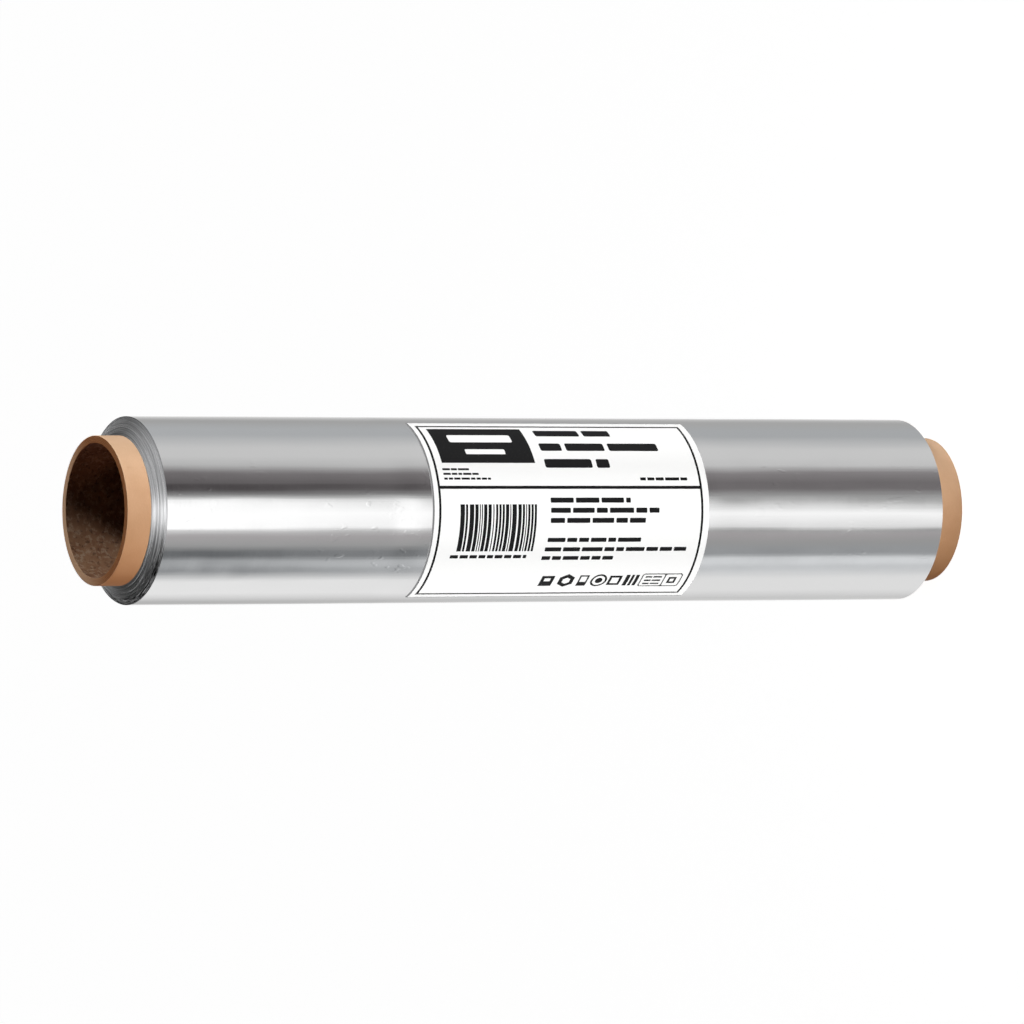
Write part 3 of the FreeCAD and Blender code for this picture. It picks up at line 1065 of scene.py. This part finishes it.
# %% List the cards and flags
# Name, start and end in degrees from the front towards +X, brightness from 0 to 255 at the head
# and at the foot, and the tint.
PLAIN, WARM, COOL = (0, 0, 0), (2.6, -0.8, 0.4), (-1.6, 0.4, 2.4)
CARDS = [
    ("back card", -171, -171, 222, 225, PLAIN),
    ("low card's end", -161, -150, 178, 196, PLAIN),
    ("low card", -124, -97, 228, 219, PLAIN),
    ("thin strip", -81, -77, 130, 199, COOL),
    ("pale strip", -71, -65, 148, 211, COOL),
    ("thin flag", -58, -51, 94, 150, COOL),
    ("grey card's end", -42, -42, 154, 148, PLAIN),
    ("grey card", -31, -31, 164, 155, WARM),
    ("joint", -25, -25, 206, 152, PLAIN),
    ("front card's end", -21, -21, 280, 214, PLAIN),
    ("front card", -4, -4, 268, 246, PLAIN),
    ("its soft edge", 9, 9, 285, 182, PLAIN),
    ("flag's edge", 12.5, 12.5, 258, 158, PLAIN),
    ("flag's rim", 18, 18, 128, 152, PLAIN),
    ("flag's fold", 26, 31, 61, 109, WARM),
    ("dark flag", 34, 34, 88, 107, WARM),
    ("dark flag's end", 47, 47, 106, 128, WARM),
    ("side card's edge", 57.5, 57.5, 177, 191, PLAIN),
    ("side card", 70, 84, 194, 197, PLAIN),
    ("side wall", 107, 120, 171, 166, COOL),
    ("wall's end", 139, 145, 160, 164, PLAIN),
    ("back strip", 158, 158, 190, 182, PLAIN),
    ("back card again", 171, 171, 222, 225, PLAIN),
]


def by_direction(tree, position, at_foot):
    """The cards' heads or feet as a ramp round the compass, read at a position from 0 to 1."""
    ramp = add_node(tree, "ShaderNodeValToRGB")
    feed(tree, ramp.inputs[0], position)
    stops = []
    for name, start, end, head, foot, tint in CARDS:
        tone = foot if at_foot else head
        colour = np.array(shade(*(min(tone, 255) + np.array(tint)))[:3])
        colour *= max(1, tone / 255) / np.array(FOIL_METAL[:3])
        stops += [(place / 360 + 0.5, (*colour, 1)) for place in sorted({start, end})]
    elements = ramp.color_ramp.elements
    elements[0].position, elements[1].position = stops[0][0], stops[-1][0]
    for place, colour in stops[1:-1]:
        elements.new(place)
    for element, (place, colour) in zip(elements, stops):
        element.color = colour
    return ramp.outputs[0]


# %% [markdown]
# The ends of the roll look upwards, so they need a ceiling. A turned disc spreads what it mirrors
# across its rings, so a round lamp would look dull in it. A long strip light from front to back
# stays bright, and gives the disc its crisp wedge. A weak wide skirt beside it and a soft glow to
# one side light the flanks.


# %% Paint the mirror world
HEAD_LEVEL = math.sin(math.radians(-26.2))
FOOT_LEVEL = math.sin(math.radians(-29.8))
NADIR_FROM, NADIR_FULL = -0.8, -0.98
NADIR_SHARE = 0.6
NADIR_TONE = (0.5, 0.5, 0.5, 1)
STRIP_ASIDE = 0.025
STRIP_CORE = 0.04
STRIP_HALF = 0.4
STRIP_ENDS = (0.75, 0.45)
STRIP_LEVEL = 0.78
STRIP_SHARPNESS = 1.5
SKIRT_ASIDE = -0.16
SKIRT_CORE = 0.06
SKIRT_HALF = 0.34
SKIRT_ENDS = (0.82, 0.6)
SKIRT_LEVEL = 0.47
GLOW_LEVEL = 1.15
CEILING_FROM = 0.2
CEILING_TONE = 0.03
CEILING_LEAST = 0.012


def ceiling_light(tree, x, y, aside, core, half, ends):
    """How bright a long light overhead is across its width, and towards its end, from 0 to 1."""
    from_middle = calc(tree, "ABSOLUTE", calc(tree, "SUBTRACT", x, aside))
    return ease(tree, from_middle, half, core), ease(tree, y, *ends)


def mirror_world(tree, x, y, z):
    """What metal sees: cards all round, plain tone underneath, and a ceiling above."""
    compass = calc(tree, "ARCTAN2", x, calc(tree, "MULTIPLY", y, -1))
    position = calc(tree, "MULTIPLY_ADD", compass, 1 / math.tau, 0.5)
    lowness = ease(tree, z, HEAD_LEVEL, FOOT_LEVEL)
    heads = by_direction(tree, position, at_foot=False)
    feet = by_direction(tree, position, at_foot=True)
    cards = blend_colours(tree, lowness, heads, feet)
    nadir = ease(tree, z, NADIR_FROM, NADIR_FULL, high=NADIR_SHARE)
    cards = blend_colours(tree, nadir, cards, NADIR_TONE)
    width, ends = ceiling_light(tree, x, y, STRIP_ASIDE, STRIP_CORE, STRIP_HALF, STRIP_ENDS)
    strip = calc(tree, "MULTIPLY", calc(tree, "POWER", width, STRIP_SHARPNESS), ends)
    width, ends = ceiling_light(tree, x, y, SKIRT_ASIDE, SKIRT_CORE, SKIRT_HALF, SKIRT_ENDS)
    skirt = calc(tree, "MULTIPLY", calc(tree, "MULTIPLY", width, ends), SKIRT_LEVEL)
    lights = calc(tree, "MULTIPLY_ADD", strip, STRIP_LEVEL, skirt)
    glow = calc(tree, "MULTIPLY_ADD", calc(tree, "MULTIPLY", x, z), GLOW_LEVEL, CEILING_TONE)
    ceiling = calc(tree, "ADD", lights, calc(tree, "MAXIMUM", glow, CEILING_LEAST))
    return blend_colours(tree, ease(tree, z, 0.0, CEILING_FROM), cards, ceiling)


# %% Paint the whole world
DIM_LEVEL = 0.012


def build_world():
    """One background with three faces: for the camera, for metal and for matt surfaces."""
    world = bpy.data.worlds.new("studio")
    world.use_nodes = True
    tree = world.node_tree
    direction = add_node(tree, "ShaderNodeTexCoord").outputs["Generated"]
    path = add_node(tree, "ShaderNodeLightPath")
    metal = mirror_world(tree, *split(tree, direction))
    dim = (DIM_LEVEL, DIM_LEVEL, DIM_LEVEL, 1)
    seen = blend_colours(tree, path.outputs["Is Glossy Ray"], dim, metal)
    seen = blend_colours(tree, path.outputs["Is Camera Ray"], seen, (1, 1, 1, 1))
    background = tree.nodes["Background"]
    feed(tree, background.inputs["Color"], seen)
    return world


bpy.context.scene.world = build_world()
bpy.context.scene.view_settings.view_transform = "Standard"

# %% [markdown]
# ## Lamps for the board, the paper and the floor
#
# A photographer lights the board and the paper with small cards of their own, and light linking
# does the same: each lamp here shines on one piece and no other, and the metal never sees it. The
# core's key and its warm card hang level with its mouth, so they leave the bore dark. One more
# lamp, high on the +X side, reaches a little way into the bore and on to the cut ring, with a
# weak warm one against it, and a small one close to the foot brightens the far stub. The label
# gets three even lights, so its white stays clean all round.

# %% Hang the lamps
LAMP_DISTANCE = 0.8
NEAR_FOOT = 0.15
WHITE = (1, 1, 1)
AMBER = (1.0, 0.61, 0.28)
RUSSET = (1.0, 0.5, 0.38)


def hang_lamp(name, piece, turn, lift, power, size, colour=WHITE, near=None,
              distance=LAMP_DISTANCE):
    """A lamp for one piece, by its turn from the front towards +X and its lift, in degrees."""
    data = bpy.data.lights.new(name, "AREA" if near else "SUN")
    data.energy = power
    data.color = colour
    if near:
        data.size = size
    else:
        data.angle = math.radians(size)
    turn, lift = math.radians(turn), math.radians(lift)
    level = math.cos(lift)
    out = Vector((math.sin(turn) * level, -math.cos(turn) * level, math.sin(lift)))
    lamp = bpy.data.objects.new(name, data)
    if near:
        lamp.location = near + out * distance
    lamp.rotation_mode = "QUATERNION"
    lamp.rotation_quaternion = out.to_track_quat("Z", "Y")
    bpy.context.scene.collection.objects.link(lamp)
    receivers = bpy.data.collections.new(name + "_lights")
    receivers.objects.link(piece)
    lamp.light_linking.receiver_collection = receivers
    return lamp


core_top = Vector((0, 0, core_high.z))
core_foot = Vector((0, 0, foil_low.z / 2))
hang_lamp("core_key", core_tube, turn=20, lift=-5, power=3.15, size=0.12, near=core_top)
hang_lamp("core_card", core_tube, turn=-30, lift=-5, power=1.9, size=0.12, colour=AMBER,
          near=core_top)
hang_lamp("core_back", core_tube, turn=180, lift=-5, power=4.5, size=0.12, near=core_top)
hang_lamp("mouth_lamp", core_tube, turn=84, lift=36, power=4.8, size=0.2, near=core_top)
hang_lamp("mouth_fill", core_tube, turn=-100, lift=30, power=0.75, size=0.2, colour=RUSSET,
          near=core_top)
hang_lamp("foot_lamp", core_tube, turn=70, lift=0, power=0.085, size=0.06, near=core_foot,
          distance=NEAR_FOOT)
hang_lamp("label_left", paper_label, turn=62, lift=8, power=3.2, size=10)
hang_lamp("label_right", paper_label, turn=-62, lift=8, power=3.2, size=10)
hang_lamp("label_front", paper_label, turn=0, lift=8, power=0.55, size=10)
hang_lamp("floor_sky", floor, turn=0, lift=80, power=0.2, size=60)
print("lamps hung")
